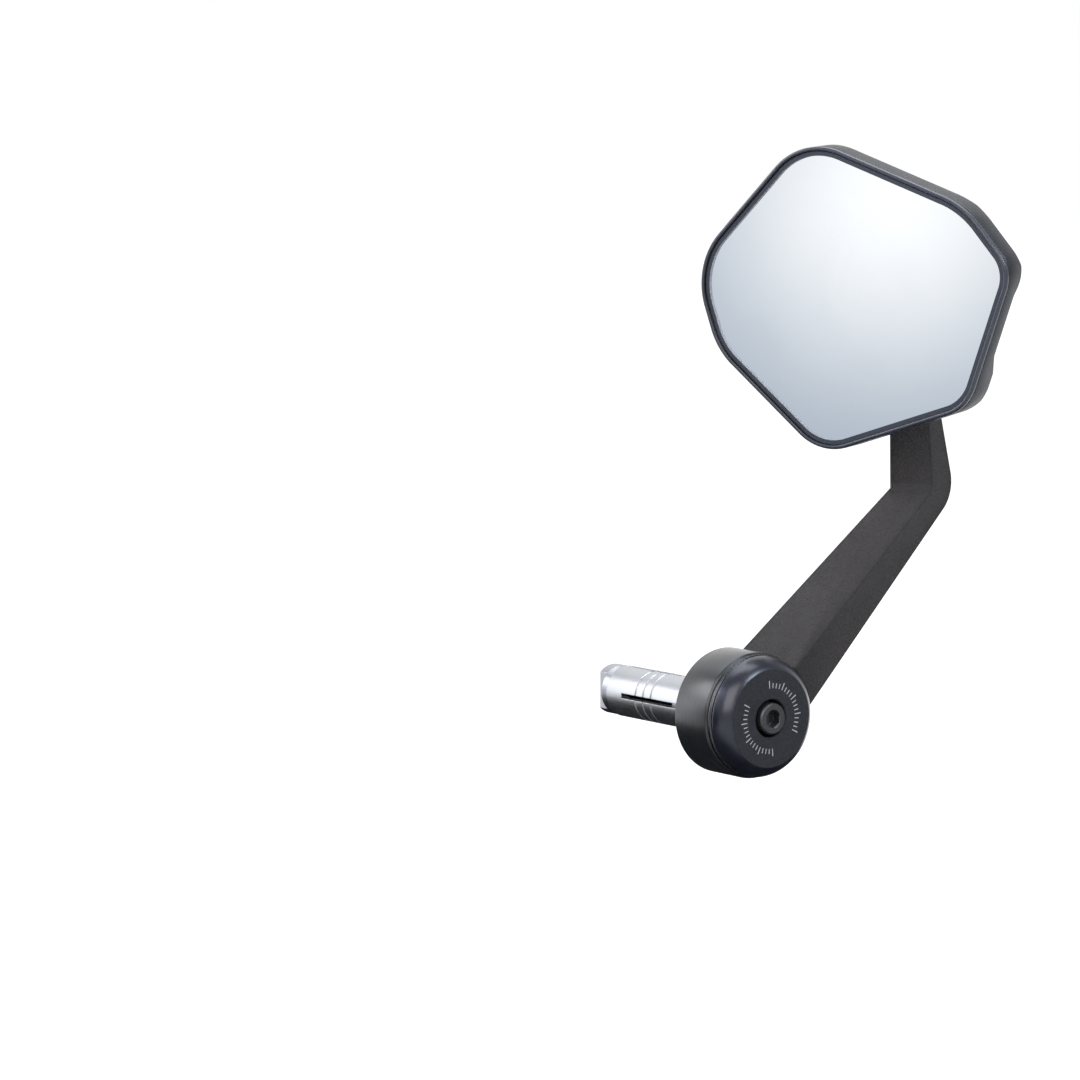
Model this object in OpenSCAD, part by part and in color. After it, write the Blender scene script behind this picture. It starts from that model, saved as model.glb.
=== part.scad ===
// Motorcycle bar end mirror, right hand side, in millimetres.
// X runs along the handlebar and points outboard, Y points forward, Z points up.
// X = 0 is the end face of the handlebar, on the bar's own axis.

/* [Bar plug] */
// outside diameter of the expanding sleeve that grips inside the handlebar
sleeve_d = 16.8; // [14:0.1:18]
// length of the expanding sleeve
sleeve_len = 38; // [30:1:50]
// wall of the sleeve between its two tapered mouths
sleeve_wall = 3.2; // [2.4:0.1:3.6]
// width of each slit in the sleeve
slit_w = 1.6; // [1:0.1:2.2]
// thread diameter of the long bolt
bolt_d = 6; // [5:0.5:6]

/* [Spacer and ring] */
// outside diameter of the spacer that sits on the end of the bar
spacer_d = 28; // [26:1:32]
// visible length of the spacer
spacer_len = 4.2; // [3:0.1:6]
// outside diameter of the arm's ring
ring_d = 40; // [38:0.5:44]
// width of the arm's ring along the bar
ring_w = 16.4; // [15:0.2:18]
// how far the arm's blade is set in from the ring's inboard side
blade_inset = 1.8; // [1:0.1:3]
// diameter of the hub that the arm's ring turns on
hub_d = 22; // [20:0.5:24]
// thickness of the bright friction washer
washer_t = 1.5; // [1:0.1:2]
// running clearance between parts that turn on each other
run_gap = 0.05; // [0.02:0.01:0.1]

/* [End cap] */
// how much smaller across the end cap is than the arm's ring
cap_step = 1.5; // [0.5:0.5:3]
// width of the soft shoulder from the cap's side to its flat face
shoulder_w = 3.75; // [2.75:0.25:5]
// thickness of the cap outside the ring
cap_t = 6.2; // [5.6:0.1:8]
// radius of the soft shoulder round the face
shoulder_r = 8; // [6.5:0.5:12]
// diameter of the counterbore for the bolt head
counterbore_d = 12; // [11.2:0.2:13]
// diameter of the socket head
head_d = 10; // [9:0.5:10.5]
// width across the flats of the hexagon socket
socket_af = 5; // [4:1:5]
// how far the bolt head stands out of the face
head_proud = 1.2; // [0:0.1:2]

/* [Arm] */
// inboard top edge of the lower arm, where it leaves the ring: forward position
edge_y = 8.7; // [6:0.1:12]
// the same point: height
edge_z = 21.8; // [20:0.1:24]
// slope of the inboard top edge
edge_slope = 38; // [34:0.5:42]
// a point on the ridge between the canted face and the outboard side: along the bar
ridge_x = 18; // [17:0.1:19]
// the same point: forward position
ridge_y = 60; // [57:0.1:63]
// the same point: height
ridge_z = 51.6; // [49:0.1:54]
// how far the upright's canted face runs forward per millimetre outboard
upper_cant = 1.064; // [0.9:0.01:1.2]
// forward position of the upright inboard edge
upright_y = 66.8; // [62:0.1:72]
// forward position of a point on the front edge
front_y = 39.7; // [38:0.1:42]
// height of the same point
front_z = 19.2; // [17:0.1:21]
// slope of the front edge
front_slope = 44; // [42:0.5:46]
// forward position of the front of the elbow
elbow_y = 87.2; // [84:0.1:90]
// how far the upright's front edge leans back per millimetre of height
front_lean = 0.21; // [0.15:0.01:0.25]
// radius of the elbow at the front
elbow_r = 13; // [8:1:16]
// radius of the elbow on the canted side
inner_elbow_r = 5; // [3:0.5:10]
// taper of the outboard side along the arm
side_taper = 3.6; // [2:0.2:4.4]
// how far the arm's top stands above the ball's centre
top_rise = 8; // [7:0.5:10]
// width of the thin chamfer along the inboard top edge
edge_chamfer = 1.2; // [0.6:0.1:1.6]

/* [Ball joint] */
// diameter of the ball
ball_d = 13; // [12:0.5:14]
// position of the ball centre along the bar
ball_x = 11.4; // [10:0.1:12.5]
// forward position of the ball centre
ball_y = 52; // [50:0.5:53]
// height of the ball centre
ball_z = 131; // [128:0.5:134]
// diameter of the neck behind the ball
neck_d = 6.4; // [5.4:0.2:6.8]
// thickness of the split liner round the ball
liner_t = 1.05; // [0.9:0.05:1.4]
// outside diameter of the pressure cup
cup_d = 18.8; // [18:0.1:20]

/* [Mirror head] */
// turn of the head about the upright axis, outboard from straight back
head_pan = 19.3; // [5:0.1:22]
// tilt of the head, face down
head_tilt = 3.4; // [0:0.1:8]
// distance from the ball centre to the front of the glass
glass_front = 14.6; // [14.4:0.1:15.4]
// top corner, seen from the front: distance outboard of the ball axis
top_x = -12.8; // [-14.5:0.1:-11]
// top corner: height above the ball axis
top_y = 51.7; // [49:0.1:54]
// top corner: radius
top_r = 23; // [18:0.5:26]
// upper outboard corner: distance outboard
upper_x = 44.9; // [43:0.1:47]
// upper outboard corner: height
upper_y = 30.2; // [28:0.1:32]
// upper outboard corner: radius
upper_r = 30; // [25:0.5:40]
// outboard corner: distance outboard
out_x = 61.4; // [59:0.1:64]
// outboard corner: height
out_y = 10.4; // [8:0.1:12]
// outboard corner: radius
out_r = 12.5; // [10:0.5:15]
// lower outboard corner: distance outboard
lower_x = 44.9; // [43:0.1:47]
// lower outboard corner: height
lower_y = -33.6; // [-36:0.1:-31]
// lower outboard corner: radius
lower_r = 15; // [12:0.5:20]
// bottom corner: distance outboard
bottom_x = -8.6; // [-10.5:0.1:-6.5]
// bottom corner: height
bottom_y = -50.9; // [-53:0.1:-48]
// bottom corner: radius
bottom_r = 18.5; // [14:0.5:22]
// lower inboard corner: distance outboard
lower_in_x = -46.8; // [-49:0.1:-44]
// lower inboard corner: height
lower_in_y = -18; // [-20:0.1:-16]
// lower inboard corner: radius
lower_in_r = 25; // [18:0.5:28]
// inboard corner: distance outboard
in_x = -55.3; // [-58:0.1:-53]
// inboard corner: height
in_y = 9.7; // [8:0.1:12]
// inboard corner: radius
in_r = 24; // [18:0.5:28]
// width of the bezel from its outer edge to the glass
bezel_w = 2.9; // [2.6:0.1:3.6]
// height of the bezel in front of the glass
bezel_rise = 1.6; // [1.3:0.1:2]
// width of the bezel's raised rim, outside its step
rim_w = 1.5; // [1.1:0.1:1.8]
// thickness of the bezel's lip on the glass
lip_t = 0.7; // [0.6:0.1:0.9]
// how far the seam between shell and bezel lies in front of the glass
seam_rise = 0.2; // [0.1:0.1:0.4]
// depth of the side wall behind the glass front, on the upper half
side_depth = 8; // [7:0.1:9]
// depth of the side wall on the lower half
low_depth = 9; // [8.4:0.1:10.4]
// depth of the side wall in the finger recess on the outboard side
recess_depth = 5.8; // [5.6:0.1:6.6]
// height of the step between the two halves, against the ball axis
step_y = -17.4; // [-20:0.2:-14]
// length of the recess's slopes
step_run = 6; // [4:0.5:9]
// depth of the back plane behind the glass front
back_depth = 17.4; // [16.8:0.1:18.4]
// how far the back facets run in from the side wall
back_run = 15; // [14:0.5:18]
// how far the ball's boss stands out of the back
boss_rise = 3; // [2.4:0.1:3.2]
// thickness of the shell
shell_t = 1.8; // [1.6:0.1:2.2]
// thickness of the mirror glass
glass_t = 2; // [1.8:0.1:2.2]

/* [Hidden] */

FN = 96;

// stations along the bar
ring_x0 = spacer_len + run_gap;
ring_x1 = spacer_len + ring_w;
cap_d = ring_d - cap_step;
face_d = cap_d - 2 * shoulder_w;
washer_x0 = ring_x1 + run_gap;
cap_x0 = washer_x0 + washer_t;
cap_x1 = cap_x0 + cap_t;
head_top = cap_x1 + head_proud;
head_len = bolt_d;
bolt_seat = head_top - head_len;
bolt_washer_t = 1;
floor_x = bolt_seat - bolt_washer_t;
hub_x1 = cap_x0 - 0.3;
boss_len = 3.8;
boss_d = counterbore_d + 3;
pilot_d = sleeve_d - 0.4;
pilot_len = 3;
cone_min = pilot_d / 2 - 2;
cone_run = 9;
cone_lip = 2;
cone_over = 3;
sleeve_x1 = -(pilot_len + cone_lip + cone_over);
sleeve_x0 = sleeve_x1 - sleeve_len;
cone_tip = -(pilot_len + cone_lip + cone_run);
nut_tip = sleeve_x0 + cone_run - cone_over;
nut_x0 = nut_tip - cone_run - 4;
bolt_end = nut_x0 - 1;
cone_slope = (pilot_d / 2 - cone_min) / cone_run;
mouth_r = pilot_d / 2 - cone_over * cone_slope;

// arm planes, each one a unit normal and a distance
blade_x0 = ring_x0 + blade_inset;
arm_top = ball_z + top_rise;
function unit(v) = v / norm(v);
edge_dir = [0, cos(edge_slope), sin(edge_slope)];
edge_x = blade_x0 + 0.5;
edge_point = [edge_x, edge_y, edge_z];
ridge_point = [ridge_x, ridge_y, ridge_z];
low_n = unit(cross(edge_dir, ridge_point - edge_point) * -1);
low_d = low_n * edge_point;
up_n = unit([upper_cant, -1, -0.02]);
up_d = up_n * [edge_x, upright_y, 0.56 * arm_top];
side_n = unit([1, tan(side_taper) * 0.743, tan(side_taper) * 0.669]);
side_d = side_n * [ring_x1 + 0.52, 0.52 * ring_d, 0.4675 * ring_d];
blank_w = 1.5 * ring_w;
chamfer_low_n = unit(low_n - [1, 0, 0]);
chamfer_up_n = unit(up_n - [1, 0, 0]);
// distance of the chamfer's plane from the origin, for the face with normal n at distance d
function chamfer_d(n, d) =
  (d - blade_x0) / norm(n - [1, 0, 0]) - edge_chamfer * tan(acos(-n[0]) / 2) / 2;
// the inner elbow's centre line, at its radius from both canted faces
bend_axis = unit(cross(low_n, up_n));
bend_c = ((low_d + inner_elbow_r) * cross(up_n, bend_axis)
  + (up_d + inner_elbow_r) * cross(bend_axis, low_n)) / (low_n * cross(up_n, bend_axis));
bend_n = unit(low_n + up_n);
elbow_z = front_z + tan(front_slope) * (elbow_y - front_y);
lean_end = 30;
front_dir = [cos(front_slope), sin(front_slope)];
lean_dir = unit([-front_lean, 1]);
elbow_turn = acos(front_dir * lean_dir);
elbow_run = elbow_r * tan(elbow_turn / 2);
elbow_a = [elbow_y, elbow_z] - front_dir * elbow_run;
elbow_b = [elbow_y, elbow_z] + lean_dir * elbow_run;
elbow_c = elbow_a + [-front_dir[1], front_dir[0]] * elbow_r;
pad_y = ball_y + 14;
pad_r = 7.4;
pad_len = 12.5;
stud_thread_r = 4;
stud_washer_t = 1.4;
flange_t = 2.6;
flange_af = 9.5;
stud_depth = 10;

// the head's corners, in order round the outline: outboard, height and radius
CORNER = [
  [upper_x, upper_y, upper_r], [out_x, out_y, out_r], [lower_x, lower_y, lower_r],
  [bottom_x, bottom_y, bottom_r], [lower_in_x, lower_in_y, lower_in_r], [in_x, in_y, in_r],
  [top_x, top_y, top_r]
];
EN = len(CORNER);
function pt(i) = let (c = CORNER[(i + EN) % EN]) [c[0], c[1]];
// edge i runs from corner i - 1 to corner i: its direction, outward normal and distance
function along(i) = unit(pt(i) - pt(i - 1));
function en(i) = [-along(i)[1], along(i)[0]];
function ed(i) = en(i) * pt(i);
// crossing of edge i with the next one, both moved in by the same amount
function corner(i, inset) =
  let (a = en(i), b = en(i + 1), p = ed(i) - inset, q = ed(i + 1) - inset, det = a[0] * b[1] - a[1] * b[0])
  [(p * b[1] - q * a[1]) / det, (a[0] * q - b[0] * p) / det];
function half_turn(i) = acos(en(i) * en(i + 1)) / 2;
function corner_c(i, inset, r) = corner(i, inset) - unit(en(i) + en(i + 1)) * r / cos(half_turn(i));
function arc_a(i, inset, r) = corner(i, inset) - along(i) * r * tan(half_turn(i));
function arc_b(i, inset, r) = corner(i, inset) + along(i + 1) * r * tan(half_turn(i));

// levels in the head, from the ball centre towards the viewer
back_z = glass_front - back_depth;
seam_z = glass_front + seam_rise;
seam_w = 0.35;
glass_back = glass_front - glass_t;
pad_t = 0.8;
carrier_top = glass_back - pad_t;
carrier_t = 1.8;
carrier_z = carrier_top - carrier_t;
liner_r = ball_d / 2 + run_gap + liner_t;
seat_r = liner_r + run_gap;
cup_z0 = 1.8;
cup_z1 = seat_r + 1.05;
spring_t = 0.95;
plate_z0 = cup_z1 + run_gap + spring_t;
plate_t = 1.4;
plate_r = 21;
plate_screw_r = 17.2;
boss_r = cup_d / 2 + 3;
boss_z0 = back_z - boss_rise;
mouth_half = 56;
liner_mouth = 59;
glass_inset = bezel_w - 0.85;
post_r = 3.4;
// screw posts, a part of the way from the ball axis to the corners
POSTS = [0.66 * pt(0), 0.7 * pt(2), 0.7 * pt(3), 0.66 * (pt(4) + pt(5)) / 2, 0.67 * pt(6)];
// the recess and the step on the back, as planes
recess_e = 2;
recess_top = pt(1) + along(recess_e) * 0.2 * norm(pt(2) - pt(1));
step_n = unit([0, low_depth - recess_depth, -step_run]);
step_d = step_n * [0, step_y, glass_front - recess_depth];

module along_x() { rotate([0, 90, 0]) children(); }
module tube_x(x0, x1, d) { translate([x0, 0, 0]) along_x() cylinder(h = x1 - x0, d = d, $fn = FN); }
module cone_x(x0, x1, r0, r1) {
  translate([x0, 0, 0]) along_x() cylinder(h = x1 - x0, r1 = r0, r2 = r1, $fn = FN);
}

// everything on the far side of a plane
module beyond(n, d, s = 420) {
  rotate([0, acos(n[2]), atan2(n[1], n[0])]) translate([-s / 2, -s / 2, d]) cube(s);
}

// prism with the head's outline, moved in and with true round corners
module outline_prism(inset, z0, z1) {
  translate([0, 0, z0]) {
    linear_extrude(z1 - z0) polygon([for (i = [0:EN - 1])
      let (r = CORNER[i][2] - inset) each [arc_a(i, inset, r), arc_b(i, inset, r)]]);
    for (i = [0:EN - 1]) {
      r = CORNER[i][2] - inset;
      c = corner_c(i, inset, r);
      b = en(i) + en(i + 1);
      translate([c[0], c[1], 0]) intersection() {
        cylinder(h = z1 - z0, r = r + 0.01, $fn = FN);
        rotate([0, 0, atan2(b[1], b[0])])
          translate([r * cos(half_turn(i)) - 0.5, -r - 1, -1]) cube([r, 2 * r + 2, z1 - z0 + 2]);
      }
    }
  }
}

module place_head() {
  translate([ball_x, ball_y, ball_z]) rotate([90 + head_tilt, 0, head_pan]) children();
}

// spacer, hub and pilot, one turned piece
module inner_spacer() color("#1b1c1e") difference() {
  union() {
    tube_x(-pilot_len, 0.01, pilot_d);
    cone_x(0, 0.8, spacer_d / 2 - 0.8, spacer_d / 2);
    tube_x(0.8, spacer_len, spacer_d);
    tube_x(spacer_len - 0.01, hub_x1, hub_d);
  }
  tube_x(-pilot_len - 1, hub_x1 + 1, bolt_d + 0.6);
  tube_x(cap_x0 - boss_len - 0.4, hub_x1 + 1, boss_d + 0.2);
}

module front_cone() color("#b9bcc0") difference() {
  union() {
    tube_x(-(pilot_len + cone_lip), -pilot_len, pilot_d);
    cone_x(cone_tip, -(pilot_len + cone_lip), cone_min, pilot_d / 2);
  }
  tube_x(cone_tip - 1, 1, bolt_d + 0.6);
}

module expander_sleeve() color("#9a9da1") difference() {
  tube_x(sleeve_x0, sleeve_x1, sleeve_d);
  tube_x(sleeve_x0 - 1, sleeve_x1 + 1, sleeve_d - 2 * sleeve_wall);
  cone_x(cone_tip, sleeve_x1 + 0.001, cone_min, mouth_r);
  cone_x(sleeve_x0 - 0.001, nut_tip, mouth_r, cone_min);
  for (a = [0, 180]) rotate([a, 0, 0])
    translate([sleeve_x0 - 1, -slit_w / 2, 0]) cube([sleeve_len - 7, slit_w, sleeve_d]);
  for (a = [90, 270]) rotate([a, 0, 0])
    translate([sleeve_x0 + 8, -slit_w / 2, 0]) cube([sleeve_len, slit_w, sleeve_d]);
  for (x = [sleeve_x0 + 15, sleeve_x0 + 19, sleeve_x0 + 23])
    translate([x, 0, 0]) along_x() difference() {
      cylinder(h = 0.8, d = sleeve_d + 2, $fn = FN);
      translate([0, 0, -1]) cylinder(h = 3, d = sleeve_d - 0.6, $fn = FN);
    }
}

module cone_nut() color("#b9bcc0") difference() {
  union() {
    tube_x(nut_x0, nut_x0 + 4, pilot_d);
    cone_x(nut_x0 + 4, nut_tip, pilot_d / 2, cone_min);
  }
  tube_x(nut_x0 - 1, nut_tip + 1, bolt_d);
  for (s = [1, -1]) translate([nut_x0 - 1, s * (pilot_d / 2 - 0.6) - 2, -6]) cube([5, 4, 12]);
}

// socket head bolt that draws the two cones together
module cap_bolt() color("#191a1c") difference() {
  union() {
    cone_x(bolt_end, bolt_end + 1, bolt_d / 2 - 0.8, bolt_d / 2);
    tube_x(bolt_end + 1, bolt_seat + 0.01, bolt_d);
    tube_x(bolt_seat, head_top - 0.5, head_d);
    cone_x(head_top - 0.5, head_top, head_d / 2, head_d / 2 - 0.5);
  }
  translate([head_top - 3.2, 0, 0]) along_x()
    cylinder(h = 4, d = socket_af / cos(30), $fn = 6);
  cone_x(head_top - 0.45, head_top + 0.01, socket_af / 2, socket_af / 2 + 0.5);
}

module bolt_washer() color("#2a2b2d") difference() {
  tube_x(floor_x, bolt_seat, head_d + 1);
  tube_x(floor_x - 1, bolt_seat + 1, bolt_d + 0.4);
}

// turned cap with a soft shoulder, a pilot boss and a counterbore
module end_cap() color("#232427") {
  a = [cap_d / 2, cap_x0 + 1];
  b = [face_d / 2, cap_x1];
  m = (a + b) / 2;
  n = unit([-(b[1] - a[1]), b[0] - a[0]]);
  c = m + n * sqrt(shoulder_r * shoulder_r - pow(norm(b - a) / 2, 2));
  difference() {
    union() {
      along_x() rotate_extrude($fn = FN) {
        polygon([[0, cap_x0], [cap_d / 2 - 0.8, cap_x0], [cap_d / 2 - 0.1, cap_x0 + 0.7],
                 [c[0], cap_x0 + 0.7], [c[0], cap_x1], [0, cap_x1]]);
        intersection() {
          translate([c[0] - 0.01, cap_x0 + 0.69]) square([cap_d / 2 - c[0] + 0.01, cap_t - 0.69]);
          translate(c) circle(r = shoulder_r, $fn = FN);
        }
      }
      tube_x(cap_x0 - boss_len, cap_x0 + 0.01, boss_d);
    }
    tube_x(floor_x, cap_x1 + 1, counterbore_d);
    cone_x(cap_x1 - 0.35, cap_x1 + 0.01, counterbore_d / 2, counterbore_d / 2 + 0.36);
    tube_x(cap_x0 - boss_len - 1, cap_x1, bolt_d + 0.6);
  }
}

module friction_washer() color("#c9ccd0") difference() {
  union() {
    cone_x(washer_x0, washer_x0 + 0.4, ring_d / 2 - 0.9, ring_d / 2 - 0.5);
    tube_x(washer_x0 + 0.4, cap_x0 - 0.4, ring_d - 1);
    cone_x(cap_x0 - 0.4, cap_x0, ring_d / 2 - 0.5, ring_d / 2 - 0.9);
  }
  tube_x(washer_x0 - 1, cap_x0 + 1, hub_d + 0.2);
}

// bent arm: silhouette across the bar, cut by its canted and tapered sides
module arm_blank() {
  top_y = elbow_b[0] + lean_dir[0] * lean_end;
  top_z = elbow_b[1] + lean_dir[1] * lean_end;
  in_y = 0.94 * upright_y;
  translate([blade_x0, 0, 0]) multmatrix([[0, 0, 1, 0], [1, 0, 0, 0], [0, 1, 0, 0], [0, 0, 0, 1]]) {
    linear_extrude(blank_w) polygon([
      [ring_d / 4, front_z + tan(front_slope) * (ring_d / 4 - front_y)], elbow_a, elbow_b,
      [top_y, top_z], [top_y - 0.6, arm_top], [in_y, arm_top], [in_y, 0.5 * arm_top],
      [edge_y - 0.15 * ring_d, edge_z - 0.05 * ring_d]
    ]);
    translate(elbow_c) cylinder(h = blank_w, r = elbow_r + 0.01, $fn = FN);
  }
}

// what the canted faces and the round bend between them take off the blank
module canted_faces() {
  intersection() {
    beyond(low_n, low_d);
    beyond(up_n, up_d);
    beyond(bend_n, bend_n * bend_c - inner_elbow_r * (low_n * bend_n));
  }
  translate(bend_c) rotate([0, acos(bend_axis[2]), atan2(bend_axis[1], bend_axis[0])])
    translate([0, 0, -ring_d]) cylinder(h = 2 * ring_d, r = inner_elbow_r + 0.01, $fn = FN);
}

module arm() color("#2c2b2b") difference() {
  union() {
    difference() {
      arm_blank();
      canted_faces();
      intersection() {
        beyond(chamfer_low_n, chamfer_d(low_n, low_d));
        beyond(chamfer_up_n, chamfer_d(up_n, up_d));
      }
      beyond(side_n, side_d);
      // flat seat for the stud's washer
      translate([ball_x, pad_y - ring_d / 4, ball_z]) rotate([-90, 0, 0])
        cylinder(h = ring_d / 4, r = pad_r + 0.2, $fn = FN);
    }
    cone_x(ring_x0, ring_x0 + 0.9, ring_d / 2 - 0.9, ring_d / 2);
    tube_x(ring_x0 + 0.9, ring_x1 - 0.6, ring_d);
    cone_x(ring_x1 - 0.6, ring_x1, ring_d / 2, ring_d / 2 - 0.6);
    translate([ball_x, pad_y, ball_z]) rotate([-90, 0, 0]) cylinder(h = pad_len, r = pad_r, $fn = FN);
  }
  tube_x(ring_x0 - 1, ring_x1 + 1, hub_d + 2 * run_gap);
  tube_x(ring_x1, ring_x1 + blank_w, ring_d + 0.8);
  translate([ball_x, pad_y - 1, ball_z]) rotate([-90, 0, 0])
    cylinder(h = stud_depth + 1.6, r = stud_thread_r, $fn = FN);
}

module ball_stud() color("#c4c7cb") translate([ball_x, ball_y, ball_z]) rotate([-90, 0, 0]) {
  difference() {
    union() {
      sphere(d = ball_d, $fn = FN);
      cylinder(h = pad_y - ball_y - stud_washer_t - flange_t + 0.01, d = neck_d, $fn = FN);
      translate([0, 0, pad_y - ball_y - stud_washer_t - flange_t])
        cylinder(h = flange_t, d = flange_af / cos(30), $fn = 6);
      translate([0, 0, pad_y - ball_y - stud_washer_t - 0.01])
        cylinder(h = stud_depth + stud_washer_t, r = stud_thread_r, $fn = FN);
    }
    translate([0, 0, -ball_d / 2 - 1]) cylinder(h = 1.6, d = ball_d, $fn = FN);
  }
}

module stud_washer() color("#8d9094") translate([ball_x, pad_y - stud_washer_t, ball_z])
  rotate([-90, 0, 0]) difference() {
    cylinder(h = stud_washer_t, r = 6.6, $fn = FN);
    translate([0, 0, -1]) cylinder(h = 4, r = stud_thread_r + 0.1, $fn = FN);
    translate([0, -0.7, -1]) cube([10, 1.4, 4]);
  }

// split plastic liner round the ball
module ball_liner() color("#e4e2da") place_head() difference() {
  sphere(r = liner_r, $fn = FN);
  sphere(r = ball_d / 2 + run_gap, $fn = FN);
  translate([0, 0, -12]) cylinder(h = 12, r1 = 12 * tan(liner_mouth), r2 = 0, $fn = FN);
  cylinder(h = 12, r = 2.6, $fn = FN);
  translate([-0.5, 0, -10]) cube([1, 12, 13]);
}

module pressure_cup() color("#d9d6cc") place_head() difference() {
  translate([0, 0, cup_z0]) cylinder(h = cup_z1 - cup_z0, d = cup_d, $fn = FN);
  sphere(r = seat_r, $fn = FN);
  cylinder(h = 20, r = 3, $fn = FN);
}

// half of the shell's outside, moved in by t: a wall with round corners, as deep as given, that
// breaks into a flat facet behind every edge
module facets(t, depth) {
  difference() {
    outline_prism(t, back_z + t, glass_front + 4);
    for (i = [0:EN - 1]) back_facet(i, depth, t);
  }
}

// everything behind the back facet of edge i, for a wall as deep as given
module back_facet(i, depth, t) {
  drop = glass_front - depth - back_z;
  bn = unit([en(i)[0] * drop, en(i)[1] * drop, -back_run]);
  beyond(bn, bn * [en(i)[0] * ed(i), en(i)[1] * ed(i), glass_front - depth] - t, 160);
}

// the shell's outside moved in by t: shallow upper half with its recess, deeper lower half
module shell_facets(t) {
  rn = unit([along(recess_e)[0] * 2, along(recess_e)[1] * 2, -step_run]);
  difference() {
    facets(t, side_depth);
    intersection() {
      back_facet(recess_e, recess_depth, t);
      beyond(step_n, step_d - t, 160);
      beyond(rn, rn * [recess_top[0], recess_top[1], glass_front - recess_depth] - t, 160);
    }
  }
  difference() {
    facets(t, low_depth);
    beyond(step_n, step_d - t, 160);
  }
}

module back_shell() color("#26282b") place_head() difference() {
  union() {
    difference() {
      shell_facets(0);
      shell_facets(shell_t);
    }
    translate([0, 0, boss_z0]) cylinder(h = cup_z1 - 0.4 - boss_z0, r = boss_r, $fn = FN);
    intersection() {
      shell_facets(0.6);
      union() {
        for (p = POSTS) translate([p[0], p[1], back_z - 1])
          cylinder(h = carrier_z - back_z + 1, r = post_r, $fn = 48);
        for (a = [30, 150, 270]) rotate([0, 0, a]) {
          translate([plate_screw_r, 0, back_z]) cylinder(h = plate_z0 - back_z, r = 3, $fn = 48);
          translate([boss_r - 1, -1, back_z]) cube([24, 2, 6]);
        }
        for (a = [90, 210, 330]) rotate([0, 0, a])
          translate([boss_r - 1, -0.8, back_z]) cube([28, 1.6, 5]);
      }
    }
  }
  translate([-150, -150, seam_z]) cube([300, 300, 30]);
  difference() {
    translate([-150, -150, seam_z - seam_w]) cube([300, 300, 5]);
    outline_prism(0.6, seam_z - 5, seam_z + 5);
  }
  sphere(r = seat_r, $fn = FN);
  translate([0, 0, -14]) cylinder(h = 14, r1 = 14 * tan(mouth_half), r2 = 0, $fn = FN);
  cylinder(h = 20, r = cup_d / 2 + run_gap, $fn = FN);
  for (p = POSTS) translate([p[0], p[1], carrier_z - 6.6]) cylinder(h = 20, r = 1.4, $fn = 32);
  for (a = [30, 150, 270]) rotate([0, 0, a])
    translate([plate_screw_r, 0, plate_z0 - 6.4]) cylinder(h = 20, r = 1.5, $fn = 32);
}

// front ring round the glass: raised rim, a step down to the lip, and a spigot inside the shell
module bezel() color("#2b2e33") place_head() difference() {
  union() {
    outline_prism(0, seam_z, glass_front + bezel_rise);
    outline_prism(shell_t + 0.05, glass_front, seam_z + 0.01);
  }
  outline_prism(bezel_w, glass_front - 1, glass_front + bezel_rise + 1);
  outline_prism(rim_w, glass_front + lip_t, glass_front + bezel_rise + 1);
}

module mirror_glass() color("#cfd6dc") place_head()
  outline_prism(glass_inset, glass_back, glass_front);

module foam_pad() color("#3a3b3d") place_head() difference() {
  outline_prism(bezel_w + 2.1, carrier_top, glass_back);
  translate([0, 0, carrier_top - 1]) cylinder(h = 4, r = 24, $fn = FN);
}

module glass_carrier() color("#1f2022") place_head() difference() {
  outline_prism(shell_t + 1.4, carrier_z, carrier_top);
  translate([0, 0, carrier_z - 1]) cylinder(h = 4, r = 24, $fn = FN);
  for (p = POSTS) translate([p[0], p[1], 0]) {
    translate([0, 0, carrier_z - 1]) cylinder(h = 4, r = 1.6, $fn = 32);
    translate([0, 0, carrier_top - 1.1]) cylinder(h = 4, r = 2.8, $fn = 32);
  }
}

module carrier_screws() color("#a9acb0") place_head() for (p = POSTS)
  translate([p[0], p[1], 0]) difference() {
    union() {
      translate([0, 0, carrier_top - 1.1]) cylinder(h = 1.1, r = 2.6, $fn = 32);
      translate([0, 0, carrier_z - 6]) cylinder(h = 6 + carrier_t - 1, r = 1.4, $fn = 32);
    }
    for (a = [0, 90]) rotate([0, 0, a])
      translate([-1.5, -0.25, carrier_top - 0.6]) cube([3, 0.5, 2]);
  }

module clamp_plate() color("#9ea1a5") place_head() difference() {
  intersection() {
    translate([0, 0, plate_z0]) cylinder(h = plate_t, r = plate_r, $fn = FN);
    translate([0, 0, plate_z0 - 1]) rotate([0, 0, 90]) cylinder(h = 4, r = plate_r + 7, $fn = 3);
  }
  translate([0, 0, plate_z0 - 1]) cylinder(h = 4, r = 5, $fn = FN);
  for (a = [30, 150, 270]) rotate([0, 0, a])
    translate([plate_screw_r, 0, plate_z0 - 1]) cylinder(h = 4, r = 1.65, $fn = 32);
}

module clamp_screws() color("#a9acb0") place_head() for (a = [30, 150, 270]) rotate([0, 0, a])
  translate([plate_screw_r, 0, 0]) difference() {
    union() {
      translate([0, 0, plate_z0 + plate_t]) cylinder(h = 1.1, r = 2.7, $fn = 32);
      translate([0, 0, plate_z0 - 6]) cylinder(h = 6.2 + plate_t, r = 1.5, $fn = 32);
    }
    for (b = [0, 90]) rotate([0, 0, b])
      translate([-1.5, -0.25, plate_z0 + plate_t + 0.5]) cube([3, 0.5, 2]);
  }

// coned spring washer that presses the cup on the liner
module spring_washer() color("#b5a37a") place_head() translate([0, 0, cup_z1 + run_gap])
  rotate_extrude($fn = FN) polygon([
    [0.29 * cup_d, 0.42 * spring_t], [0.29 * cup_d, spring_t], [0.473 * cup_d, 0.58 * spring_t],
    [0.473 * cup_d, 0]
  ]);

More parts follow.
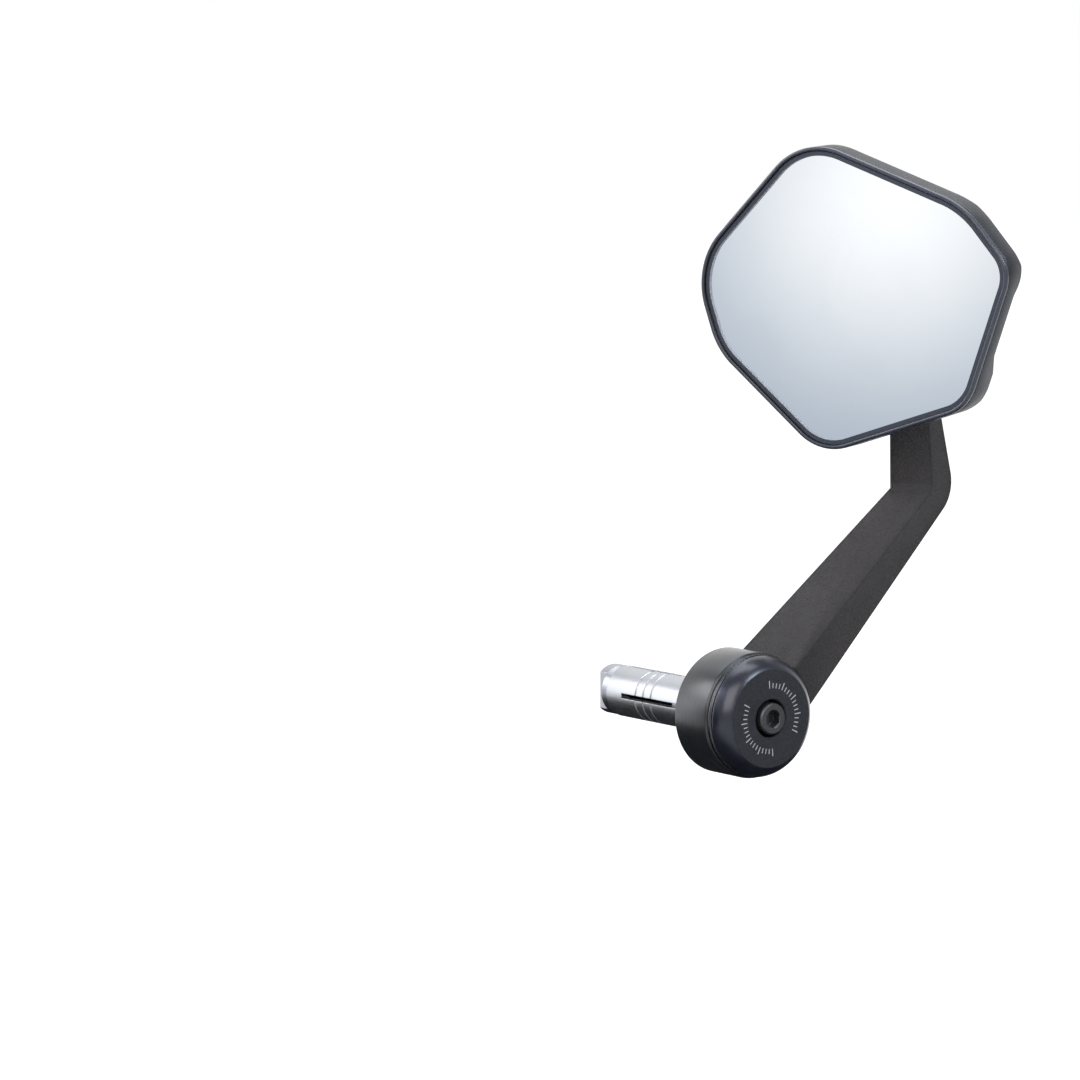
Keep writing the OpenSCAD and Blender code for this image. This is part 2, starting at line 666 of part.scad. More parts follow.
inner_spacer();
front_cone();
expander_sleeve();
cone_nut();
cap_bolt();
bolt_washer();
end_cap();
friction_washer();
arm();
ball_stud();
stud_washer();
ball_liner();
pressure_cup();
back_shell();
bezel();
mirror_glass();
foam_pad();
glass_carrier();
carrier_screws();
clamp_plate();
clamp_screws();
spring_washer();
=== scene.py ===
"""Looks of a motorcycle bar end mirror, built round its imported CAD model."""

import logging
import math
from dataclasses import dataclass
from enum import Enum
from typing import Callable, Optional, Sequence, Union

import bmesh
import bpy
from mathutils import Euler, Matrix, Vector


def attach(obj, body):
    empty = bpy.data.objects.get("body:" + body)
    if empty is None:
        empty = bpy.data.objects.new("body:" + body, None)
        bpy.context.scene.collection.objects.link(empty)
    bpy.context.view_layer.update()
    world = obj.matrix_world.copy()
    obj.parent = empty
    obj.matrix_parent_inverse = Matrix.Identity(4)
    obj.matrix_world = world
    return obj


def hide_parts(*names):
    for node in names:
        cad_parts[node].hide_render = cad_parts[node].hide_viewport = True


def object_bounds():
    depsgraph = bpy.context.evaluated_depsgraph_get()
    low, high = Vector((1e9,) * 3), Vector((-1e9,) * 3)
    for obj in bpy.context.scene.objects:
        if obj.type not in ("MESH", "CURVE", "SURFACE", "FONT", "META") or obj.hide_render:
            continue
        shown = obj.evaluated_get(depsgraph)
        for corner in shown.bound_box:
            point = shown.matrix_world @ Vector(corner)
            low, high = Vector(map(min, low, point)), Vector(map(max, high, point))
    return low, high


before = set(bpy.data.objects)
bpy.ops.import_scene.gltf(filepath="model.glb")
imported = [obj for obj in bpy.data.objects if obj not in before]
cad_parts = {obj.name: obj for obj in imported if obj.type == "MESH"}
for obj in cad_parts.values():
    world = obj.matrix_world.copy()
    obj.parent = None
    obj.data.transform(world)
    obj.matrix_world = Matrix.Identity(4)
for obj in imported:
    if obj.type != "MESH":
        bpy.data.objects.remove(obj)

log = logging.getLogger("bar_end_mirror")

MM = 0.001
CAD_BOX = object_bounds()

Socket = bpy.types.NodeSocket
Colour = tuple[float, float, float]
Point = tuple[float, float, float]
Step = tuple[float, float]
Feed = Union[Socket, float, Point]


class Body(Enum):
    """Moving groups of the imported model."""

    BAR_MOUNT = "bar_mount"
    SWING_ARM = "swing_arm"
    PAN_LINER = "pan_liner"
    TILT_CUP = "tilt_cup"
    MIRROR_HEAD = "mirror_head"


class Blend(Enum):
    """What a Mix node blends: its data type, and the places of A, B and Result."""

    NUMBER = ("FLOAT", 2, 3, 0)
    COLOUR = ("RGBA", 6, 7, 2)


# ---------------------------------------------------------------- shader helpers


@dataclass
class NodePen:
    """Adds and links nodes in one shader or group tree."""

    tree: bpy.types.NodeTree

    def add(self, kind: str, **values: object) -> bpy.types.Node:
        """Adds a node.

        Args:
            kind: the node's Blender type.
            values: attributes to set, or input sockets named in words with underscores.

        Returns:
            The new node.
        """
        node = self.tree.nodes.new(kind)
        for name, value in values.items():
            if hasattr(node, name):
                setattr(node, name, value)
            else:
                node.inputs[name.replace("_", " ")].default_value = value
        return node

    def link(self, out: Socket, into: Socket) -> None:
        """Joins two sockets."""
        self.tree.links.new(out, into)

    def feed(self, value: Feed, into: Socket) -> None:
        """Gives an input a socket, a number, a vector or a colour.

        Args:
            value: the socket to link, or the value to set.
            into: the input.
        """
        if isinstance(value, Socket):
            self.link(value, into)
        else:
            into.default_value = (*value, 1.0) if into.type == "RGBA" else value

    def calc(self, op: str, a: Feed, b: Optional[Feed] = None, clamp: bool = False) -> Socket:
        """Math node on numbers or sockets.

        Args:
            op: the operation's Blender name.
            a: first number or socket.
            b: second number or socket, if the operation has one.
            clamp: keep the result from 0 to 1.

        Returns:
            The result socket.
        """
        node = self.add("ShaderNodeMath", operation=op, use_clamp=clamp)
        self.feed(a, node.inputs[0])
        if b is not None:
            self.feed(b, node.inputs[1])
        return node.outputs[0]

    def times(self, a: Feed, b: Feed, clamp: bool = False) -> Socket:
        """Product of two numbers or sockets."""
        return self.calc("MULTIPLY", a, b, clamp)

    def inverse(self, mask: Socket) -> Socket:
        """1 minus a mask."""
        return self.calc("SUBTRACT", 1.0, mask)

    def ramp(self, value: Socket, low: float, high: float) -> Socket:
        """Smooth step from 0 to 1.

        Args:
            value: what the step follows.
            low: the value at which it leaves 0.
            high: the value at which it reaches 1.

        Returns:
            The step's socket.
        """
        node = self.add(
            "ShaderNodeMapRange", interpolation_type="SMOOTHSTEP", From_Min=low, From_Max=high
        )
        self.link(value, node.inputs["Value"])
        return node.outputs["Result"]

    def mix(self, kind: Blend, factor: Socket, a: Feed, b: Feed) -> Socket:
        """Mix node on numbers or colours.

        Args:
            kind: what is mixed.
            factor: socket that drives the mix.
            a: value or socket at 0.
            b: value or socket at 1.

        Returns:
            The mixed socket.
        """
        data_type, slot_a, slot_b, slot_out = kind.value
        node = self.add("ShaderNodeMix", data_type=data_type)
        self.link(factor, node.inputs[0])
        self.feed(a, node.inputs[slot_a])
        self.feed(b, node.inputs[slot_b])
        return node.outputs[slot_out]

    def mix_colour(self, factor: Socket, a: Feed, b: Feed) -> Socket:
        """Mixes two colours or colour sockets."""
        return self.mix(Blend.COLOUR, factor, a, b)

    def mix_value(self, factor: Socket, a: Feed, b: Feed) -> Socket:
        """Mixes two numbers or value sockets."""
        return self.mix(Blend.NUMBER, factor, a, b)

    def vector(self, op: str, a: Feed, b: Feed) -> bpy.types.Node:
        """Vector math node on points or sockets.

        Args:
            op: the operation's Blender name.
            a: first vector or socket.
            b: second vector or socket.

        Returns:
            The new node.
        """
        node = self.add("ShaderNodeVectorMath", operation=op)
        self.feed(a, node.inputs[0])
        self.feed(b, node.inputs[1])
        return node

    def dot(self, a: Feed, b: Feed) -> Socket:
        """Dot product of two vectors or sockets."""
        return self.vector("DOT_PRODUCT", a, b).outputs["Value"]

    def place(self) -> Socket:
        """Position in the piece's own coordinates."""
        return self.add("ShaderNodeTexCoord").outputs["Object"]

    def distance(self, point: Point = (0.0, 0.0, 0.0)) -> Socket:
        """Distance from a point in the piece's own coordinates."""
        return self.vector("DISTANCE", self.place(), point).outputs["Value"]

    def noise(self, **values: object) -> bpy.types.Node:
        """Cloud noise in the piece's own coordinates.

        Args:
            values: the inputs to set.

        Returns:
            The noise node.
        """
        node = self.add("ShaderNodeTexNoise", **values)
        self.link(self.place(), node.inputs["Vector"])
        return node

    def parts(self, vector: Socket) -> bpy.types.Node:
        """Splits a vector into X, Y and Z.

        Args:
            vector: the vector's socket.

        Returns:
            The node with the three outputs.
        """
        node = self.add("ShaderNodeSeparateXYZ")
        self.link(vector, node.inputs[0])
        return node

    def along(self) -> Socket:
        """Position along X, the axis of the plug."""
        return self.parts(self.place()).outputs["X"]

    def radius(self) -> Socket:
        """Distance from the X axis."""
        at = self.parts(self.place()).outputs
        return self.calc("SQRT", self.calc("ADD", *(self.times(at[k], at[k]) for k in "YZ")))

    def turn(self) -> Socket:
        """Angle round the X axis in radians."""
        at = self.parts(self.place()).outputs
        return self.calc("ARCTAN2", at["Z"], at["Y"])


@dataclass
class GroupPen(NodePen):
    """Pen inside a group, with the group's input and output nodes."""

    taken: bpy.types.Node
    given: bpy.types.Node


@dataclass(frozen=True)
class EffectGroup:
    """Shader node group with named sockets, made once and shared by the finishes.

    Attributes:
        name: the group's name.
        takes: number inputs and their default values.
        gives: outputs and their socket types.
        draw: fills the group between its input and output nodes.
    """

    name: str
    takes: dict[str, float]
    gives: dict[str, str]
    draw: Callable[[GroupPen], None]

    def tree(self) -> bpy.types.NodeTree:
        """Makes the group's tree, unless it is there.

        Returns:
            The tree.
        """
        tree = bpy.data.node_groups.get(self.name)
        if tree is not None:
            return tree
        tree = bpy.data.node_groups.new(self.name, "ShaderNodeTree")
        for label, default in self.takes.items():
            socket = tree.interface.new_socket(
                name=label, in_out="INPUT", socket_type="NodeSocketFloat"
            )
            socket.default_value = default
        for label, kind in self.gives.items():
            tree.interface.new_socket(name=label, in_out="OUTPUT", socket_type=kind)
        nodes = tree.nodes
        self.draw(GroupPen(tree, nodes.new("NodeGroupInput"), nodes.new("NodeGroupOutput")))
        return tree

    def place(self, pen: NodePen, **values: float) -> bpy.types.Node:
        """Puts the group in a material, with its inputs set."""
        return pen.add("ShaderNodeGroup", node_tree=self.tree(), **values)


CLOUD_STEP: Step = (0.3, 0.7)
WORN_BEND: Step = (0.02, 0.22)
CREASE_BEND: Step = (0.003, 0.03)
BROKEN_STEP: Step = (0.35, 0.65)
UPWARD_STEP: Step = (0.1, 1.0)
DUST_STEP: Step = (0.3, 0.75)


def draw_grain(pen: GroupPen) -> None:
    """Two sizes of cloud noise, for the skin of coated and moulded surfaces.

    Args:
        pen: the group's pen.
    """
    fine = pen.noise(Detail=4.0, Roughness=0.62)
    broad = pen.noise(Detail=2.0, Roughness=0.5)
    for label, node in (("Fine", fine), ("Broad", broad)):
        pen.link(pen.taken.outputs[label + " Scale"], node.inputs["Scale"])
        pen.link(pen.ramp(node.outputs[0], *CLOUD_STEP), pen.given.inputs[label])


def draw_edge_wear_and_crease_shade(pen: GroupPen) -> None:
    """Masks along sharp edges for wear and along slight creases for a painted shade line, and a
    normal that rounds both.

    Args:
        pen: the group's pen.
    """
    soft = pen.add("ShaderNodeBevel", samples=6)
    pen.link(pen.taken.outputs["Width"], soft.inputs["Radius"])
    flat = pen.add("ShaderNodeNewGeometry").outputs["True Normal"]
    bend = pen.inverse(pen.dot(soft.outputs[0], flat))
    broken = pen.ramp(pen.noise(Scale=260.0, Detail=3.0).outputs[0], *BROKEN_STEP)
    worn = pen.times(pen.ramp(bend, *WORN_BEND), broken)
    pen.link(pen.times(worn, pen.taken.outputs["Amount"], clamp=True), pen.given.inputs["Mask"])
    # crease mask: where the painted shade line goes
    pen.link(pen.ramp(bend, *CREASE_BEND), pen.given.inputs["Crease"])
    pen.link(soft.outputs[0], pen.given.inputs["Normal"])


def draw_dust(pen: GroupPen) -> None:
    """Thin dust where a surface faces up, thicker in the patches of a broad noise.

    Args:
        pen: the group's pen.
    """
    facing = pen.parts(pen.add("ShaderNodeNewGeometry").outputs["Normal"])
    patch = pen.noise(Detail=5.0, Roughness=0.7)
    pen.link(pen.taken.outputs["Scale"], patch.inputs["Scale"])
    upward = pen.ramp(facing.outputs["Z"], *UPWARD_STEP)
    cover = pen.times(upward, pen.ramp(patch.outputs[0], *DUST_STEP))
    pen.link(pen.times(cover, pen.taken.outputs["Amount"], clamp=True), pen.given.inputs["Mask"])


def draw_turning(pen: GroupPen) -> None:
    """Fine tool marks round the X axis, on faces and on round sides.

    Args:
        pen: the group's pen.
    """
    marks = pen.add("ShaderNodeTexNoise", noise_dimensions="1D", Detail=3.0, Roughness=0.75)
    pen.link(pen.calc("ADD", pen.radius(), pen.along()), marks.inputs["W"])
    pen.link(pen.taken.outputs["Scale"], marks.inputs["Scale"])
    pen.link(marks.outputs[0], pen.given.inputs["Marks"])


GRAIN = EffectGroup(
    "Coat grain",
    {"Fine Scale": 2600.0, "Broad Scale": 60.0},
    {"Fine": "NodeSocketFloat", "Broad": "NodeSocketFloat"},
    draw_grain,
)
EDGE_WEAR_AND_CREASE_SHADE = EffectGroup(
    "Edge wear and crease shade",
    {"Width": 0.5 * MM, "Amount": 0.5},
    {"Mask": "NodeSocketFloat", "Crease": "NodeSocketFloat", "Normal": "NodeSocketVector"},
    draw_edge_wear_and_crease_shade,
)
DUST = EffectGroup(
    "Settled dust", {"Scale": 90.0, "Amount": 0.2}, {"Mask": "NodeSocketFloat"}, draw_dust
)
TURNING = EffectGroup(
    "Turning marks", {"Scale": 2400.0}, {"Marks": "NodeSocketFloat"}, draw_turning
)


# ---------------------------------------------------------------- finishes


DUST_COLOUR: Colour = (0.32, 0.31, 0.29)
DUST_ROUGHNESS = 0.85
DUST_SCALE = 80.0
TOOL_SCALE = 2600.0
TOOLED_GRAIN = 0.3
BUMP_STRENGTH = 0.6
SHADOW_LINE: Colour = (0.003, 0.003, 0.004)


@dataclass(frozen=True)
class Finish:
    """Base of the finishes: a name and the shader's constant values."""

    name: str
    colour: Colour
    roughness: float
    metallic: float = 0.0
    specular: float = 0.5
    coat_roughness: float = 0.2
    tint: Colour = (1.0, 1.0, 1.0)

    def start(self) -> tuple[bpy.types.Material, NodePen, bpy.types.Node]:
        """Makes the material.

        Returns:
            The material, a pen for its tree and its Principled BSDF node.
        """
        material = bpy.data.materials.new(self.name)
        material.use_nodes = True
        material.diffuse_color = (*self.colour, 1.0)
        pen = NodePen(material.node_tree)
        shader = material.node_tree.nodes["Principled BSDF"]
        pen.feed(self.colour, shader.inputs["Base Color"])
        pen.feed(self.roughness, shader.inputs["Roughness"])
        pen.feed(self.metallic, shader.inputs["Metallic"])
        pen.feed(self.specular, shader.inputs["Specular IOR Level"])
        pen.feed(self.tint, shader.inputs["Specular Tint"])
        pen.feed(self.coat_roughness, shader.inputs["Coat Roughness"])
        return material, pen, shader

    def material(self) -> bpy.types.Material:
        """Builds the plain version; each finish has its own."""
        return self.start()[0]


@dataclass(frozen=True)
class CoatedFinish(Finish):
    """Paint, powder coat, anodising or moulded skin: grain, worn edges and a little dust.

    Attributes:
        second: colour of the broad patches.
        worn: colour of rubbed edges and of specks.
        fine_scale: noise scale of the grain.
        broad_scale: noise scale of the patches.
        grain_height: height of the grain in millimetres.
        grain_spread: difference in roughness between its tops and its hollows.
        edge_width: reach of the edge mask in millimetres.
        edge_amount: share of the mask that is rubbed.
        dust: how thick the dust lies.
        turned: strength of the turning marks.
        speck: strength of the specks.
        crease_shade: strength of the painted shade line along creases.
        soft_normal: round the normal at edges.
        gloss: clear coat in the places that gloss_mask gives.
    """

    second: Colour = (0.03, 0.03, 0.03)
    worn: Colour = (0.2, 0.2, 0.2)
    fine_scale: float = 2600.0
    broad_scale: float = 45.0
    grain_height: float = 0.02
    grain_spread: float = 0.12
    edge_width: float = 0.35
    edge_amount: float = 0.35
    dust: float = 0.1
    turned: float = 0.0
    speck: float = 0.0
    crease_shade: float = 0.0
    soft_normal: bool = True
    gloss: float = 0.0

    def material(self) -> bpy.types.Material:
        """Builds the material.

        Returns:
            The finished material.
        """
        material, pen, shader = self.start()
        grain = GRAIN.place(pen, Fine_Scale=self.fine_scale, Broad_Scale=self.broad_scale)
        edge = EDGE_WEAR_AND_CREASE_SHADE.place(pen, Width=self.edge_width * MM, Amount=self.edge_amount)
        dust = DUST.place(pen, Scale=DUST_SCALE, Amount=self.dust).outputs["Mask"]
        colour = pen.mix_colour(dust, self.body_colour(pen, grain, edge), DUST_COLOUR)
        pen.link(self.local_colour(pen, colour), shader.inputs["Base Color"])
        half = self.grain_spread / 2
        rough = pen.mix_value(grain.outputs["Fine"], self.roughness - half, self.roughness + half)
        rough = pen.mix_value(dust, rough, DUST_ROUGHNESS)
        pen.link(self.local_roughness(pen, rough), shader.inputs["Roughness"])
        bump = pen.add("ShaderNodeBump", Strength=BUMP_STRENGTH, Distance=self.grain_height * MM)
        pen.link(self.local_height(pen, self.body_height(pen, grain)), bump.inputs["Height"])
        if self.soft_normal:
            pen.link(edge.outputs["Normal"], bump.inputs["Normal"])
        pen.link(bump.outputs[0], shader.inputs["Normal"])
        glossy = self.gloss_mask(pen)
        if glossy is not None:
            pen.link(pen.times(glossy, self.gloss), shader.inputs["Coat Weight"])
        return material

    def body_colour(self, pen: NodePen, grain: bpy.types.Node, edge: bpy.types.Node) -> Socket:
        """Colour with patches, specks, painted shade along creases and rubbed edges.

        Args:
            pen: the material's pen.
            grain: its grain group.
            edge: its group of masks for worn edges and for painted crease shade.

        Returns:
            The colour's socket.
        """
        colour = pen.mix_colour(grain.outputs["Broad"], self.colour, self.second)
        if self.speck > 0:
            dots = pen.times(grain.outputs["Fine"], self.speck)
            colour = pen.mix_colour(dots, colour, self.worn)
        # painted shade: a dark line along creases, where shade falls between facets
        if self.crease_shade > 0:
            line = pen.times(edge.outputs["Crease"], self.crease_shade)
            colour = pen.mix_colour(line, colour, SHADOW_LINE)
        return pen.mix_colour(edge.outputs["Mask"], colour, self.worn)

    def body_height(self, pen: NodePen, grain: bpy.types.Node) -> Socket:
        """Height of the grain, with turning marks where the piece was turned.

        Args:
            pen: the material's pen.
            grain: its grain group.

        Returns:
            The height's socket.
        """
        height = grain.outputs["Fine"]
        if self.turned > 0:
            marks = TURNING.place(pen, Scale=TOOL_SCALE).outputs["Marks"]
            grained = pen.times(height, TOOLED_GRAIN)
            height = pen.calc("ADD", grained, pen.times(marks, self.turned))
        return height

    def local_colour(self, pen: NodePen, colour: Socket) -> Socket:
        """Colour as it is; a finish with its own marks changes it."""
        return colour

    def local_roughness(self, pen: NodePen, rough: Socket) -> Socket:
        """Roughness as it is; a finish with zones changes it."""
        return rough

    def local_height(self, pen: NodePen, height: Socket) -> Socket:
        """Height as it is; a finish with its own relief changes it."""
        return height

    def gloss_mask(self, pen: NodePen) -> Optional[Socket]:
        """No clear coat; a finish that has one says where it lies."""
        return None


@dataclass(frozen=True)
class ArmFinish(CoatedFinish):
    """Powder coat on the arm, and a smoother turned band on its ring.

    Attributes:
        ring: colour of the band.
        ring_radius: outer radius of the ring in millimetres.
        ring_fade: width over which the band ends, in millimetres.
        ring_roughness: roughness of the band.
        ring_marks: strength of the turning marks on it.
        mark_scale: noise scale of those marks.
        groove_x: place along X of the painted shadow line of its fine groove, in millimetres.
        groove_width: half the width of that painted shadow line, in millimetres.
    """

    gloss: float = 0.75
    ring: Colour = (0.011, 0.013, 0.016)
    ring_radius: float = 20.06
    ring_fade: float = 0.25
    ring_roughness: float = 0.3
    ring_marks: float = 0.4
    mark_scale: float = 1500.0
    groove_x: float = 10.6
    groove_width: float = 0.35

    def gloss_mask(self, pen: NodePen) -> Socket:
        """1 on the ring's round side, 0 on the arm."""
        outer = (self.ring_radius + self.ring_fade) * MM
        return pen.inverse(pen.ramp(pen.radius(), self.ring_radius * MM, outer))

    def local_colour(self, pen: NodePen, colour: Socket) -> Socket:
        """Ring a shade cooler than the powder coat, with a painted shadow line along a fine
        groove turned round it.

        Args:
            pen: the material's pen.
            colour: the powder coat's colour.

        Returns:
            The colour's socket.
        """
        # painted shadow: a dark line along the fine groove, where shade falls
        away = pen.calc("ABSOLUTE", pen.calc("SUBTRACT", pen.along(), self.groove_x * MM))
        clear = pen.ramp(away, 0.0, self.groove_width * MM)
        ring = pen.mix_colour(clear, SHADOW_LINE, self.ring)
        return pen.mix_colour(self.gloss_mask(pen), colour, ring)

    def local_roughness(self, pen: NodePen, rough: Socket) -> Socket:
        """Ring smoother than the powder coat."""
        return pen.mix_value(self.gloss_mask(pen), rough, self.ring_roughness)

    def local_height(self, pen: NodePen, height: Socket) -> Socket:
        """Ring with fine turning marks in place of the grain."""
        marks = TURNING.place(pen, Scale=self.mark_scale).outputs["Marks"]
        return pen.mix_value(self.gloss_mask(pen), height, pen.times(marks, self.ring_marks))


@dataclass(frozen=True)
class BezelFinish(CoatedFinish):
    """Moulded bezel: glossy rim, painted shade on its inner face round the glass, and a pale band
    for the glass's matt bevelled edge in the lip, painted bright as the highlight that edge
    catches.

    Attributes:
        axis: direction square to the glass, out of its face.
        centre: the ball's centre in millimetres.
        lip_height: top of the glass's edge, along the axis from the centre, in millimetres.
        wall_shade: colour of the painted shade on the inner face, in the recess round the glass.
        glass_edge_and_highlight: colour of the pale band on the inner face under the lip's top,
            for the glass's matt bevelled edge, painted bright as the highlight that edge catches.
        inward_step: how far a surface must face the middle to count as the inner one.
    """

    gloss: float = 0.9
    axis: Point = (0.329933, -0.94214, -0.059306)
    centre: Point = (11.4, 52.0, 131.0)
    lip_height: float = 15.28
    wall_shade: Colour = (0.0035, 0.0038, 0.005)
    glass_edge_and_highlight: Colour = (0.34, 0.36, 0.4)
    inward_step: Step = (-0.028, -0.006)

    def from_centre(self, pen: NodePen) -> Socket:
        """Vector from the ball's centre to the surface."""
        centre = tuple(MM * c for c in self.centre)
        return pen.vector("SUBTRACT", pen.place(), centre).outputs["Vector"]

    def inward(self, pen: NodePen) -> Socket:
        """1 on walls that face the middle of the glass, 0 elsewhere."""
        normal = pen.add("ShaderNodeTexCoord").outputs["Normal"]
        return pen.inverse(pen.ramp(pen.dot(self.from_centre(pen), normal), *self.inward_step))

    def gloss_mask(self, pen: NodePen) -> Socket:
        """1 on the rim, 0 on the inner face round the glass."""
        return pen.inverse(self.inward(pen))

    def local_colour(self, pen: NodePen, colour: Socket) -> Socket:
        """Adds the painted shade on the inner face and the pale band for the glass's edge with
        its painted highlight.

        Args:
            pen: the material's pen.
            colour: the moulding's colour.

        Returns:
            The colour's socket.
        """
        inward = self.inward(pen)
        # painted shade: the inner face darkened, as the recess round the glass lies in shade
        colour = pen.mix_colour(inward, colour, self.wall_shade)
        # pale band for the glass's edge: partly its own matt tone, partly a painted highlight
        height = pen.dot(self.from_centre(pen), self.axis)
        low = pen.calc("LESS_THAN", height, self.lip_height * MM)
        return pen.mix_colour(pen.times(inward, low), colour, self.glass_edge_and_highlight)


@dataclass(frozen=True)
class CapFinish(CoatedFinish):
    """Anodised cap, blasted on its face, with plain printed tick marks in two arcs there.

    Attributes:
        face_x: place along X just behind the face, in millimetres.
        face_radius: radius of the blasted face in millimetres.
        face_step: where the face ends, from that radius, in millimetres.
        face_dark: colour of the blasted face's hollows.
        face_pale: colour of its tops.
        face_rough: how much duller it is than the shoulder.
        shoulder_grain: share of the grain's height on the shoulder.
        tick_inner: inner radius of the ticks in millimetres.
        tick_outer: outer radius of the short ones.
        tick_long: outer radius of the long ones.
        tick_step: degrees from tick to tick.
        tick_half: half a tick's width, as a share of the step.
        long_every: steps from one long tick to the next.
        arc_start: turn of the arcs in degrees.
        arc_span: degrees from the start of one arc to the next.
        arc_share: share of that span with ticks.
        ink: colour of the ticks.
    """

    gloss: float = 0.7
    face_x: float = 28.2
    face_radius: float = 15.6
    face_step: Step = (-0.25, 0.15)
    face_dark: Colour = (0.0075, 0.0073, 0.0077)
    face_pale: Colour = (0.0225, 0.022, 0.023)
    face_rough: float = 0.24
    shoulder_grain: float = 0.03
    tick_inner: float = 9.6
    tick_outer: float = 11.2
    tick_long: float = 12.0
    tick_step: float = 7.5
    tick_half: float = 0.11
    long_every: int = 4
    arc_start: float = 30.0
    arc_span: float = 180.0
    arc_share: float = 0.7
    ink: Colour = (0.42, 0.43, 0.44)

    def gloss_mask(self, pen: NodePen) -> Socket:
        """1 on the turned shoulder, 0 on the flat blasted face."""
        inner, outer = ((self.face_radius + reach) * MM for reach in self.face_step)
        return pen.ramp(pen.radius(), inner, outer)

    def face_mask(self, pen: NodePen) -> Socket:
        """1 on the flat blasted face, 0 on the turned shoulder."""
        return pen.inverse(self.gloss_mask(pen))

    def local_roughness(self, pen: NodePen, rough: Socket) -> Socket:
        """Face duller than the shoulder."""
        return pen.calc("ADD", rough, pen.times(self.face_mask(pen), self.face_rough))

    def local_height(self, pen: NodePen, height: Socket) -> Socket:
        """Coarse blasted grain on the face alone."""
        smooth = pen.times(height, self.shoulder_grain)
        return pen.mix_value(self.face_mask(pen), smooth, height)

    def local_colour(self, pen: NodePen, colour: Socket) -> Socket:
        """Adds the face's blasted tone and the tick marks on it.

        Args:
            pen: the material's pen.
            colour: the anodised colour.

        Returns:
            The colour's socket.
        """
        grain = GRAIN.place(pen, Fine_Scale=self.fine_scale, Broad_Scale=self.broad_scale)
        face = pen.mix_colour(grain.outputs["Fine"], self.face_dark, self.face_pale)
        colour = pen.mix_colour(self.face_mask(pen), colour, face)
        return pen.mix_colour(self.tick_mask(pen), colour, self.ink)

    def share_of(self, pen: NodePen, turn: Socket, span: float) -> Socket:
        """How far an angle is through the span that it lies in, from 0 to 1."""
        return pen.calc("FRACT", pen.calc("DIVIDE", turn, span))

    def tick_mask(self, pen: NodePen) -> Socket:
        """1 on the tick marks, 0 elsewhere.

        Args:
            pen: the material's pen.

        Returns:
            The mask's socket.
        """
        turn = pen.calc("ADD", pen.times(pen.turn(), 180 / math.pi), 360.0)
        off = pen.calc("SUBTRACT", self.share_of(pen, turn, self.tick_step), 0.5)
        tick = pen.calc("LESS_THAN", pen.calc("ABSOLUTE", off), self.tick_half)
        group = self.share_of(pen, turn, self.tick_step * self.long_every)
        is_long = pen.calc("LESS_THAN", group, 1 / self.long_every)
        radius = pen.radius()
        outer = pen.mix_value(is_long, self.tick_outer * MM, self.tick_long * MM)
        band = pen.times(
            pen.calc("GREATER_THAN", radius, self.tick_inner * MM),
            pen.calc("LESS_THAN", radius, outer),
        )
        turned = pen.calc("ADD", turn, self.arc_start)
        arc = pen.calc("LESS_THAN", self.share_of(pen, turned, self.arc_span), self.arc_share)
        front = pen.calc("GREATER_THAN", pen.along(), self.face_x * MM)
        return pen.times(pen.times(tick, band), pen.times(arc, front))


@dataclass(frozen=True)
class ThreadFinish(CoatedFinish):
    """Blackened bolt with a thread on its shank.

    Attributes:
        pitch: pitch of the thread in millimetres.
        thread_end: where the thread stops along X, in millimetres.
        ridge: height of the ridges, against that of the grain.
    """

    pitch: float = 1.0
    thread_end: float = 20.0
    ridge: float = 14.0

    def local_height(self, pen: NodePen, height: Socket) -> Socket:
        """Adds the thread's ridges inboard of the bolt's head.

        Args:
            pen: the material's pen.
            height: the grain's height.

        Returns:
            The height's socket.
        """
        turn = pen.calc("DIVIDE", pen.turn(), 2 * math.pi)
        phase = pen.calc("ADD", pen.calc("DIVIDE", pen.along(), self.pitch * MM), turn)
        ridge = pen.calc("PINGPONG", phase, 0.5)
        shank = pen.calc("LESS_THAN", pen.along(), self.thread_end * MM)
        return pen.calc("ADD", height, pen.times(pen.times(ridge, shank), self.ridge))


@dataclass(frozen=True)
class SilverGlass(Finish):
    """Silvered mirror pane with faint wipe marks.

    Attributes:
        haze: how much rougher the wipe marks are.
        wiped: colour of the wipe marks.
        wipe_step: part of the noise that they take up.
    """

    haze: float = 0.035
    wiped: Colour = (0.87, 0.895, 0.92)
    wipe_step: Step = (0.42, 0.8)

    def material(self) -> bpy.types.Material:
        """Builds the material.

        Returns:
            The finished material.
        """
        material, pen, shader = self.start()
        smear = pen.noise(Scale=34.0, Detail=5.0, Roughness=0.6, Distortion=0.6)
        mask = pen.ramp(smear.outputs[0], *self.wipe_step)
        rough = pen.mix_value(mask, self.roughness, self.roughness + self.haze)
        pen.link(rough, shader.inputs["Roughness"])
        pen.link(pen.mix_colour(mask, self.colour, self.wiped), shader.inputs["Base Color"])
        return material


